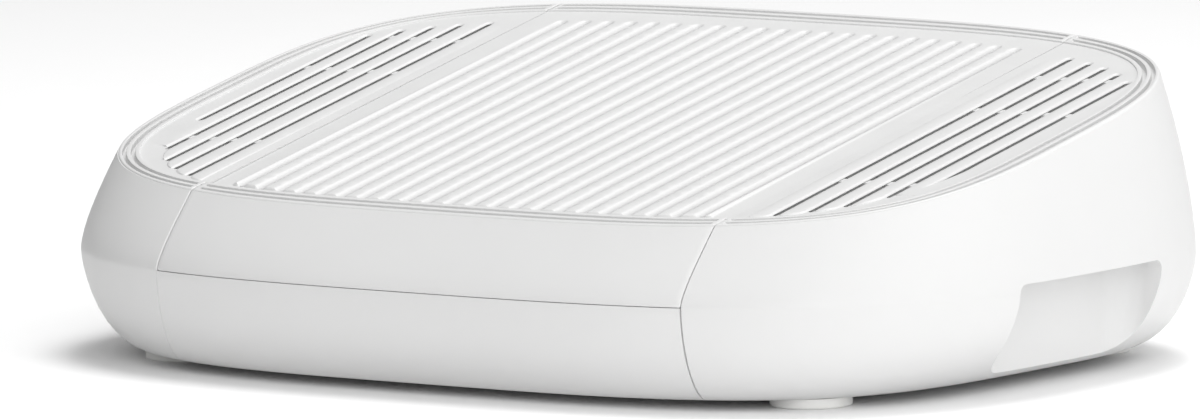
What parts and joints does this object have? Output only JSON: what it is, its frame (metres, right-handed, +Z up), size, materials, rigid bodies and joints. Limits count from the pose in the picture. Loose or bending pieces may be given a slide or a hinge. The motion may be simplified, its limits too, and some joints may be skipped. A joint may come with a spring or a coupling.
{
  "type": "pet litter step",
  "caption": "Sloping ribbed step that takes litter off a pet's paws, with a hollow slotted bin at each end that slides out sideways to be emptied.",
  "frame": {"origin": "on the floor under the middle of the step", "axes": "+X to the right along the front edge, +Y towards the high back, +Z up"},
  "size_m": [0.4992, 0.356, 0.14],
  "materials": {
    "shell_plastic": "fine spark-eroded grain",
    "slide_plastic": "smooth, self-lubricating",
    "catch_plastic": "smooth, springy",
    "foot_rubber": "soft matte white elastomer",
    "screw_steel": "zinc-plated pan head"
  },
  "bodies": {
    "center": {"center_base": "shell_plastic", "center_tread": "shell_plastic", "cover_screws": "screw_steel", "front_rail": "slide_plastic", "rear_rail": "slide_plastic", "rail_screws": "screw_steel", "center_foot_front_left": "foot_rubber", "center_foot_front_right": "foot_rubber", "center_foot_rear_left": "foot_rubber", "center_foot_rear_right": "foot_rubber"},
    "left_bin": {"left_bin_shell": "shell_plastic", "left_front_runner": "slide_plastic", "left_rear_runner": "slide_plastic", "left_runner_screws": "screw_steel", "left_front_catch": "catch_plastic", "left_rear_catch": "catch_plastic", "left_catch_screws": "screw_steel", "left_front_foot": "foot_rubber", "left_rear_foot": "foot_rubber"},
    "right_bin": {"right_bin_shell": "shell_plastic", "right_front_runner": "slide_plastic", "right_rear_runner": "slide_plastic", "right_runner_screws": "screw_steel", "right_front_catch": "catch_plastic", "right_rear_catch": "catch_plastic", "right_catch_screws": "screw_steel", "right_front_foot": "foot_rubber", "right_rear_foot": "foot_rubber"}
  },
  "joints": [
    {"name": "left_bin_slide", "type": "slide", "parent": "center", "child": "left_bin", "axis": [-1, 0, 0], "range_m": [0, 0.1]},
    {"name": "right_bin_slide", "type": "slide", "parent": "center", "child": "right_bin", "axis": [1, 0, 0], "range_m": [0, 0.1]}
  ]
}
